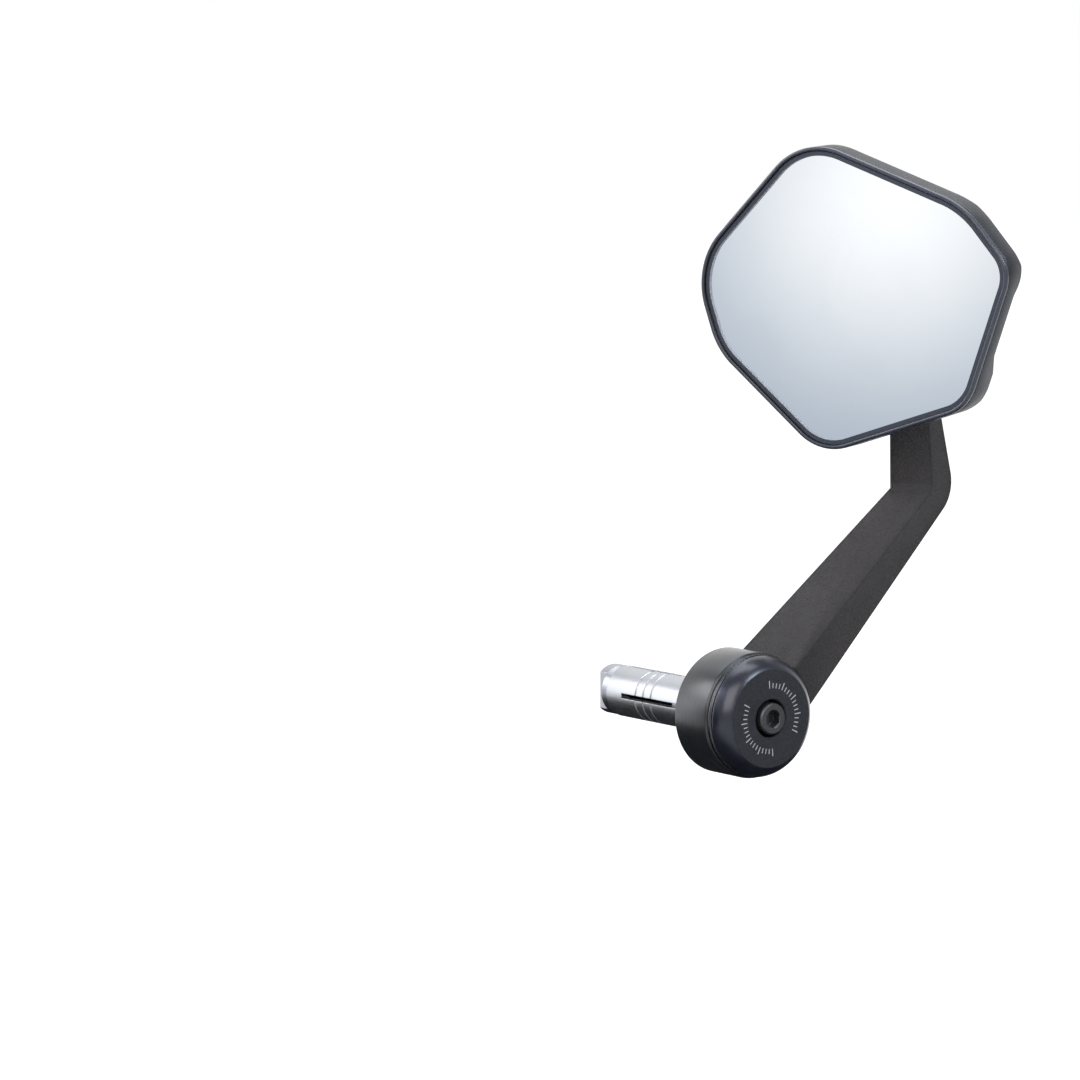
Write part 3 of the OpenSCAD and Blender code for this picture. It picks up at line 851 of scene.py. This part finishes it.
POWDER_COAT = ArmFinish(
    "Textured powder coat", (0.0155, 0.0132, 0.0138), 0.55, specular=0.4, coat_roughness=0.26,
    second=(0.021, 0.0178, 0.0185), worn=(0.105, 0.09, 0.087), fine_scale=1500.0,
    broad_scale=120.0, grain_height=0.24, edge_width=0.9, edge_amount=0.1, dust=0.03,
    speck=0.27, crease_shade=0.7,
)
CAP_BLACK = CapFinish(
    "Satin anodised cap", (0.007, 0.008, 0.015), 0.3, specular=0.42, coat_roughness=0.25,
    tint=(0.78, 0.82, 1.0), second=(0.011, 0.012, 0.021), worn=(0.2, 0.2, 0.21),
    fine_scale=1500.0, broad_scale=160.0, grain_height=0.03, grain_spread=0.05,
    edge_width=0.3, edge_amount=0.5, dust=0.02, turned=0.25, soft_normal=False,
)
SPACER_BLACK = CoatedFinish(
    "Black spacer", (0.014, 0.014, 0.016), 0.5, second=(0.02, 0.02, 0.021), turned=0.6,
    dust=0.05,
)
BOLT_BLACK = ThreadFinish(
    "Black oxide steel", (0.04, 0.04, 0.045), 0.36, metallic=0.8, second=(0.06, 0.06, 0.065),
    worn=(0.3, 0.3, 0.31), fine_scale=1600.0, grain_height=0.03, edge_width=0.25,
    edge_amount=0.9, dust=0.04, speck=0.12,
)
BRIGHT_RING = CoatedFinish(
    "Fine turned steel", (0.09, 0.095, 0.105), 0.26, metallic=0.95,
    second=(0.07, 0.075, 0.085), worn=(0.6, 0.6, 0.6), turned=0.7, dust=0.02,
)
SHELL_BLACK = CoatedFinish(
    "Satin cast shell", (0.009, 0.0112, 0.0158), 0.4, specular=0.45,
    second=(0.0135, 0.016, 0.0215), worn=(0.12, 0.125, 0.14), fine_scale=2400.0,
    broad_scale=90.0, grain_height=0.02, edge_width=0.8, edge_amount=0.35, dust=0.04,
    speck=0.04,
)
BEZEL_BLACK = BezelFinish(
    "Satin moulded bezel", (0.026, 0.031, 0.049), 0.42, specular=0.25, coat_roughness=0.24,
    second=(0.031, 0.037, 0.057), worn=(0.2, 0.21, 0.24), fine_scale=2600.0,
    broad_scale=80.0, grain_height=0.012, edge_width=0.1, edge_amount=0.0, dust=0.0,
    soft_normal=False,
)
ZINC = CoatedFinish(
    "Zinc plated steel", (0.5, 0.51, 0.53), 0.34, metallic=1.0, second=(0.42, 0.43, 0.46),
    worn=(0.65, 0.65, 0.65), dust=0.03,
)
PLAIN_ALUMINIUM = CoatedFinish(
    "Turned aluminium", (0.56, 0.57, 0.59), 0.36, metallic=1.0, second=(0.5, 0.51, 0.53),
    worn=(0.7, 0.7, 0.7), turned=0.9, dust=0.03,
)
LINER_PLASTIC = CoatedFinish(
    "Natural acetal", (0.62, 0.6, 0.54), 0.5, second=(0.66, 0.64, 0.58),
    worn=(0.7, 0.68, 0.62), dust=0.04,
)
CUP_PLASTIC = CoatedFinish(
    "Glass filled nylon", (0.06, 0.06, 0.064), 0.55, second=(0.09, 0.09, 0.094),
    worn=(0.14, 0.14, 0.14),
)
FOAM = CoatedFinish(
    "Closed cell foam", (0.03, 0.03, 0.031), 0.9, second=(0.045, 0.045, 0.046),
    grain_height=0.12, fine_scale=1800.0,
)
CARRIER_PLASTIC = CoatedFinish(
    "Moulded carrier", (0.04, 0.04, 0.043), 0.55, second=(0.05, 0.05, 0.053),
)
SILVER = SilverGlass("Silvered glass", (0.9, 0.92, 0.94), 0.012, metallic=1.0)


# ---------------------------------------------------------------- mesh helpers


FINISHED: dict[str, bpy.types.Material] = {}

WELD_REACH = 2e-6
FLAT_BEND = math.radians(0.6)
SMOOTH_BEND = math.radians(24)


@dataclass(frozen=True)
class Rounding:
    """How a CAD node's edges are rounded.

    Attributes:
        width: width of the rounding in millimetres.
        cuts: faces across each rounded edge.
        sharp: edges that bend more than this, in degrees, are rounded.
    """

    width: float
    cuts: int = 2
    sharp: float = 12.0


def finished(finish: Finish) -> bpy.types.Material:
    """Builds a finish's material at its first use.

    Args:
        finish: the finish.

    Returns:
        Its material.
    """
    if finish.name not in FINISHED:
        FINISHED[finish.name] = finish.material()
    return FINISHED[finish.name]


def dress(node: str, finish: Finish) -> str:
    """Gives a CAD node its finish.

    Args:
        node: the node's name.
        finish: the finish to put in all its material slots.

    Returns:
        A line for the log.
    """
    material = finished(finish)
    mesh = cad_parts[node].data
    if not mesh.materials:
        mesh.materials.append(material)
    for slot in range(len(mesh.materials)):
        mesh.materials[slot] = material
    return f"{node}, {finish.name.lower()}"


def in_scene(name: str, data: bpy.types.ID) -> bpy.types.Object:
    """Puts a new object in the scene.

    Args:
        name: the object's name.
        data: its mesh, lamp or camera.

    Returns:
        The object.
    """
    piece = bpy.data.objects.new(name, data)
    bpy.context.scene.collection.objects.link(piece)
    return piece


def softened(
    node: str, rounding: Rounding, keep: Optional[Callable[[Vector], bool]] = None
) -> bpy.types.Object:
    """Copy of a CAD node with its sharp outer edges rounded.

    Args:
        node: the node's name.
        rounding: how its edges are rounded.
        keep: tells from an edge's middle, in millimetres, whether it may be rounded.

    Returns:
        The new object, in the row frame.
    """
    mesh = bpy.data.meshes.new(node + "_soft")
    work = bmesh.new()
    work.from_mesh(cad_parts[node].data)
    bmesh.ops.remove_doubles(work, verts=work.verts, dist=WELD_REACH)
    bmesh.ops.dissolve_limit(
        work, angle_limit=FLAT_BEND, use_dissolve_boundaries=False,
        verts=work.verts, edges=work.edges,
    )
    picked = []
    for edge in work.edges:
        bend = edge.calc_face_angle(0.0)
        if len(edge.link_faces) != 2 or bend < math.radians(rounding.sharp):
            continue
        middle = (edge.verts[0].co + edge.verts[1].co) / (2 * MM)
        if keep is None or keep(middle):
            picked.append(edge)
    bmesh.ops.bevel(
        work, geom=picked, offset=rounding.width * MM, offset_type="OFFSET",
        segments=rounding.cuts, profile=0.5, affect="EDGES", clamp_overlap=True,
        harden_normals=False,
    )
    bmesh.ops.triangulate(work, faces=[f for f in work.faces if len(f.verts) > 4])
    for face in work.faces:
        face.smooth = True
    for edge in work.edges:
        edge.smooth = edge.calc_face_angle(0.0) < SMOOTH_BEND
    work.to_mesh(mesh)
    work.free()
    return in_scene(node + "_soft", mesh)


def swap_in(piece: bpy.types.Object, node: str, body: Body, finish: Finish) -> str:
    """Shows a new piece in a CAD node's place.

    Args:
        piece: the new object.
        node: the node that it stands for.
        body: the body that it moves with.
        finish: its finish.

    Returns:
        A line for the log.
    """
    piece.data.materials.clear()
    piece.data.materials.append(finished(finish))
    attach(piece, body.value)
    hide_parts(node)
    return f"{piece.name}, {finish.name.lower()}, {len(piece.data.polygons)} faces"


# ---------------------------------------------------------------- sub-assemblies


@dataclass
class BarPlug:
    """Expanding plug with its spacer."""

    sleeve: Finish = PLAIN_ALUMINIUM
    steel: Finish = ZINC
    spacer: Finish = SPACER_BLACK

    def build(self) -> list[str]:
        """Gives the plug's nodes their finishes.

        Returns:
            A log line for each piece.
        """
        return [
            dress("expander_sleeve", self.sleeve),
            dress("front_cone", self.steel),
            dress("cone_nut", self.steel),
            dress("inner_spacer", self.spacer),
        ]


@dataclass
class EndCap:
    """Turned cap, its bolt and the bright ring behind it."""

    cap: Finish = CAP_BLACK
    bolt: Finish = BOLT_BLACK
    ring: Finish = BRIGHT_RING

    def build(self) -> list[str]:
        """Gives the cap's nodes their finishes.

        Returns:
            A log line for each piece.
        """
        return [
            dress("end_cap", self.cap),
            dress("cap_bolt", self.bolt),
            dress("bolt_washer", self.bolt),
            dress("friction_washer", self.ring),
        ]


@dataclass
class Arm:
    """Bent arm with rounded edges, and the ball stud in its top."""

    rounding: Rounding = Rounding(0.5)
    coat: Finish = POWDER_COAT
    steel: Finish = ZINC

    def build(self) -> list[str]:
        """Rounds the arm's edges and finishes the stud.

        Returns:
            A log line for each piece.
        """
        arm = softened("arm", self.rounding)
        return [
            swap_in(arm, "arm", Body.SWING_ARM, self.coat),
            dress("ball_stud", self.steel),
            dress("stud_washer", self.steel),
        ]


@dataclass
class BallJoint:
    """Liner, pressure cup and what presses them on the ball."""

    liner: Finish = LINER_PLASTIC
    cup: Finish = CUP_PLASTIC
    steel: Finish = ZINC

    def build(self) -> list[str]:
        """Gives the joint's nodes their finishes.

        Returns:
            A log line for each piece.
        """
        return [
            dress("ball_liner", self.liner),
            dress("pressure_cup", self.cup),
            dress("spring_washer", self.steel),
            dress("clamp_plate", self.steel),
            dress("clamp_screws", self.steel),
        ]


@dataclass
class MirrorHead:
    """Shell, bezel and glass of the head, with the foam and carrier behind the glass.

    Attributes:
        shell_rounding: rounding of the shell's edges.
        bezel_rounding: rounding of the bezel's rim.
        rim_height: the rim's edges lie beyond this, from the ball's centre, in millimetres.
    """

    shell_rounding: Rounding = Rounding(0.45)
    bezel_rounding: Rounding = Rounding(0.72, cuts=4, sharp=30.0)
    rim_height: float = 16.05
    shell: Finish = SHELL_BLACK
    bezel: BezelFinish = BEZEL_BLACK
    glass: Finish = SILVER
    foam: Finish = FOAM
    carrier: Finish = CARRIER_PLASTIC
    steel: Finish = ZINC

    def on_rim(self, at: Vector) -> bool:
        """Whether a point in millimetres lies on the bezel's rim."""
        return (at - Vector(self.bezel.centre)).dot(Vector(self.bezel.axis)) > self.rim_height

    def build(self) -> list[str]:
        """Rounds the shell's and the bezel's edges and dresses the rest.

        Returns:
            A log line for each piece.
        """
        shell = softened("back_shell", self.shell_rounding)
        shell_line = swap_in(shell, "back_shell", Body.MIRROR_HEAD, self.shell)
        bezel = softened("bezel", self.bezel_rounding, self.on_rim)
        bezel_line = swap_in(bezel, "bezel", Body.MIRROR_HEAD, self.bezel)
        return [
            shell_line,
            bezel_line,
            dress("mirror_glass", self.glass),
            dress("foam_pad", self.foam),
            dress("glass_carrier", self.carrier),
            dress("carrier_screws", self.steel),
        ]


# ---------------------------------------------------------------- studio


PART_MIDDLE: Point = (0.03, 0.04, 0.06)
WHITE: Colour = (1.0, 1.0, 1.0)


def square_mesh(name: str, half: float, height: float = 0.0) -> bpy.types.Mesh:
    """Makes a level square of one face.

    Args:
        name: the mesh's name.
        half: half its side in metres.
        height: its height in metres.

    Returns:
        The mesh.
    """
    mesh = bpy.data.meshes.new(name)
    corners = ((-half, -half), (half, -half), (half, half), (-half, half))
    mesh.from_pydata([(x, y, height) for x, y in corners], [], [(0, 1, 2, 3)])
    return mesh


def aimed(piece: bpy.types.Object, at: Point, to: Point, forward: str) -> None:
    """Puts an object at a point and turns it to another.

    Args:
        piece: the object.
        at: its place in metres.
        to: the point that it faces.
        forward: the object's own axis that looks there.
    """
    piece.location = at
    piece.rotation_euler = (Vector(to) - Vector(at)).to_track_quat(forward, "Y").to_euler()


@dataclass(frozen=True)
class Card:
    """Round soft-edged studio card that only reflections see: it throws no light or shadow.

    Attributes:
        name: the card's name.
        centre: its centre in metres.
        facing: the point that it faces.
        radius: where it has faded out, in metres.
        solid: share of the radius up to which it is opaque.
        near: colour at the glow's centre.
        far: colour at the glow's rim and beyond it.
        glow: the glow's centre on the card and its radius, in metres.
    """

    name: str
    centre: Point
    facing: Point
    radius: float
    solid: float
    near: Colour
    far: Colour
    glow: tuple[float, float, float] = (0.0, 0.0, 0.2)

    def build(self) -> str:
        """Makes the card and its glow.

        Returns:
            A line for the log.
        """
        mesh = square_mesh(self.name, self.radius)
        piece = in_scene(self.name, mesh)
        aimed(piece, self.centre, self.facing, "Z")
        material = bpy.data.materials.new(self.name)
        material.use_nodes = True
        tree = material.node_tree
        tree.nodes.remove(tree.nodes["Principled BSDF"])
        pen = NodePen(tree)
        across, up, reach = self.glow
        fade = pen.ramp(pen.distance((across, up, 0.0)), 0.0, reach)
        light = pen.add("ShaderNodeEmission")
        pen.link(pen.mix_colour(fade, self.near, self.far), light.inputs["Color"])
        rim = pen.ramp(pen.distance(), self.solid * self.radius, self.radius)
        path = pen.add("ShaderNodeLightPath")
        clear = pen.add("ShaderNodeBsdfTransparent")
        mix = pen.add("ShaderNodeMixShader")
        pen.link(pen.times(path.outputs["Is Glossy Ray"], pen.inverse(rim)), mix.inputs[0])
        pen.link(clear.outputs[0], mix.inputs[1])
        pen.link(light.outputs[0], mix.inputs[2])
        pen.link(mix.outputs[0], tree.nodes["Material Output"].inputs["Surface"])
        mesh.materials.append(material)
        return self.name


@dataclass(frozen=True)
class Lamp:
    """Square soft lamp: its place in metres, size, power in watts and tint."""

    name: str
    place: Point
    size: float
    power: float
    tint: Colour

    def build(self) -> str:
        """Makes the lamp, aimed at the part.

        Returns:
            A line for the log.
        """
        lamp = bpy.data.lights.new(self.name, "AREA")
        lamp.shape = "SQUARE"
        lamp.size = self.size
        lamp.energy = self.power
        lamp.color = self.tint
        aimed(in_scene(self.name, lamp), self.place, PART_MIDDLE, "-Z")
        return self.name


@dataclass
class Studio:
    """Floor, soft lamps, reflection cards, world and the camera at the photograph's angle.

    Attributes:
        azimuth: the camera's turn in degrees.
        elevation: how far it looks down, in degrees.
        camera_at: its place in metres.
        lens: its focal length in millimetres.
        sensor: its sensor's width in millimetres.
        clip_start: nearest distance that it sees, in metres.
        lamps: the lamps.
        cards: the cards.
        front: direction in which reflections of floor and world are dimmer.
        front_level: their brightness there.
        world_level: strength of the world's light.
        world_fade: where the world dims, along that direction.
        floor_colour: the floor's colour.
        floor_half: half its side in metres.
        floor_near: its own glow under the part, 1 further out.
        floor_reach: distances over which the glow rises, in metres.
        floor_fade: where the floor dims, along that direction, in metres.
        floor_drop: its depth below the part in metres.
    """

    azimuth: float = 53.8
    elevation: float = 6.2
    camera_at: Point = (0.9625, -0.7734, 0.1878)
    lens: float = 130.23
    sensor: float = 36.0
    clip_start: float = 0.05
    lamps: Sequence[Lamp] = (
        Lamp("front_soft", (0.75, -0.85, 0.66), 0.95, 8.5, (1.0, 0.965, 0.955)),
        Lamp("overhead", (-0.15, 0.25, 1.15), 1.0, 10.0, (0.93, 0.96, 1.0)),
        Lamp("left_side", (-0.85, -0.95, 0.6), 0.8, 9.0, (0.96, 0.97, 1.0)),
        Lamp("right_side", (1.2, 0.35, 0.95), 0.6, 13.0, (0.8, 0.9, 1.0)),
    )
    cards: Sequence[Card] = (
        Card(
            "mirror_card", (-0.060, -0.351, 0.0706), (0.0167, 0.0367, 0.130), 0.2, 0.6,
            (1.12, 1.12, 1.12), (0.48, 0.54, 0.615), (-0.022, 0.04, 0.115),
        ),
        Card(
            "left_card", (-0.62, -0.48, 0.1), (0.0, 0.0, 0.0), 0.34, 0.3,
            (2.4, 2.5, 2.6), (1.2, 1.25, 1.3),
        ),
        Card(
            "high_card", (-0.04, -0.53, 0.41), (0.03, 0.0, 0.0), 0.18, 0.2,
            (2.4, 2.6, 3.5), (1.7, 1.85, 2.5),
        ),
        Card(
            "top_card", (-0.38, -0.06, 0.68), (0.03, 0.04, 0.13), 0.34, 0.2,
            (2.2, 2.3, 2.45), (1.6, 1.7, 1.85),
        ),
        Card(
            "cap_flag", (-0.005, -0.11, -0.005), (0.027, 0.0, 0.0), 0.05, 0.5,
            (0.03, 0.03, 0.035), (0.03, 0.03, 0.035),
        ),
        Card(
            "low_flag", (-0.2, 0.02, -0.134), (-0.2, 0.02, 1.0), 0.42, 0.7,
            (0.02, 0.02, 0.024), (0.02, 0.02, 0.024),
        ),
    )
    front: Point = (0.77, -0.63, 0.1)
    front_level: float = 0.35
    world_level: float = 0.34
    world_fade: Step = (-0.75, -0.2)
    floor_colour: Colour = (0.4, 0.4, 0.4)
    floor_half: float = 8.0
    floor_near: float = 0.8
    floor_reach: Step = (0.25, 1.6)
    floor_fade: Step = (-0.6, 0.0)
    floor_drop: float = 0.115

    def floor(self) -> str:
        """Pale floor, low enough for the head to swing down clear of it.

        Returns:
            Its line for the log.
        """
        mesh = square_mesh("floor", self.floor_half, CAD_BOX[0][2] - self.floor_drop)
        piece = in_scene("floor", mesh)
        finish = Finish("Pale floor", self.floor_colour, 0.9, specular=0.1)
        material, pen, shader = finish.start()
        path = pen.add("ShaderNodeLightPath")
        glow = pen.mix_value(pen.ramp(pen.distance(), *self.floor_reach), self.floor_near, 1.0)
        ahead = pen.dot(pen.place(), self.front)
        dim = pen.mix_value(pen.ramp(ahead, *self.floor_fade), 1.0, self.front_level)
        mirrored = pen.times(path.outputs["Is Glossy Ray"], pen.times(glow, dim))
        seen = pen.times(path.outputs["Is Camera Ray"], glow)
        pen.feed(WHITE, shader.inputs["Emission Color"])
        pen.link(pen.calc("ADD", seen, mirrored), shader.inputs["Emission Strength"])
        mesh.materials.append(material)
        return "floor"

    def world(self) -> str:
        """Soft white surroundings, plain white where they are seen, dimmer to gloss in front.

        Returns:
            A line for the log.
        """
        world = bpy.data.worlds.new("Studio")
        bpy.context.scene.world = world
        world.use_nodes = True
        pen = NodePen(world.node_tree)
        back = world.node_tree.nodes["Background"]
        path = pen.add("ShaderNodeLightPath")
        seen = pen.calc(
            "MAXIMUM", path.outputs["Is Camera Ray"], path.outputs["Is Transmission Ray"]
        )
        ahead = pen.dot(pen.add("ShaderNodeTexCoord").outputs["Generated"], self.front)
        dim = pen.mix_value(pen.ramp(ahead, *self.world_fade), 1.0, self.front_level)
        level = pen.mix_value(path.outputs["Is Glossy Ray"], self.world_level, dim)
        pen.link(pen.mix_value(seen, level, 1.0), back.inputs["Strength"])
        pen.feed(WHITE, back.inputs["Color"])
        return "world"

    def camera(self) -> str:
        """Camera at the photograph's angle and framing.

        Returns:
            A line for the log.
        """
        data = bpy.data.cameras.new("camera")
        data.lens = self.lens
        data.sensor_width = self.sensor
        data.clip_start = self.clip_start
        piece = in_scene("camera", data)
        piece.location = self.camera_at
        turns = (math.radians(90 - self.elevation), 0.0, math.radians(self.azimuth))
        piece.rotation_euler = Euler(turns)
        bpy.context.scene.camera = piece
        return "camera"

    def build(self) -> list[str]:
        """Sets the whole studio.

        Returns:
            A log line for each thing in it.
        """
        bpy.context.scene.view_settings.view_transform = "Standard"
        lines = [self.floor()]
        lines += [card.build() for card in self.cards]
        lines += [lamp.build() for lamp in self.lamps]
        return lines + [self.world(), self.camera()]


def main() -> None:
    """Builds the part's looks and the studio in order, and reports each piece."""
    logging.basicConfig(level=logging.INFO, format="%(name)s: %(message)s")
    for assembly in (BarPlug(), EndCap(), Arm(), BallJoint(), MirrorHead(), Studio()):
        for line in assembly.build():
            log.info("%s: %s", type(assembly).__name__, line)


if __name__ == "__main__":
    main()
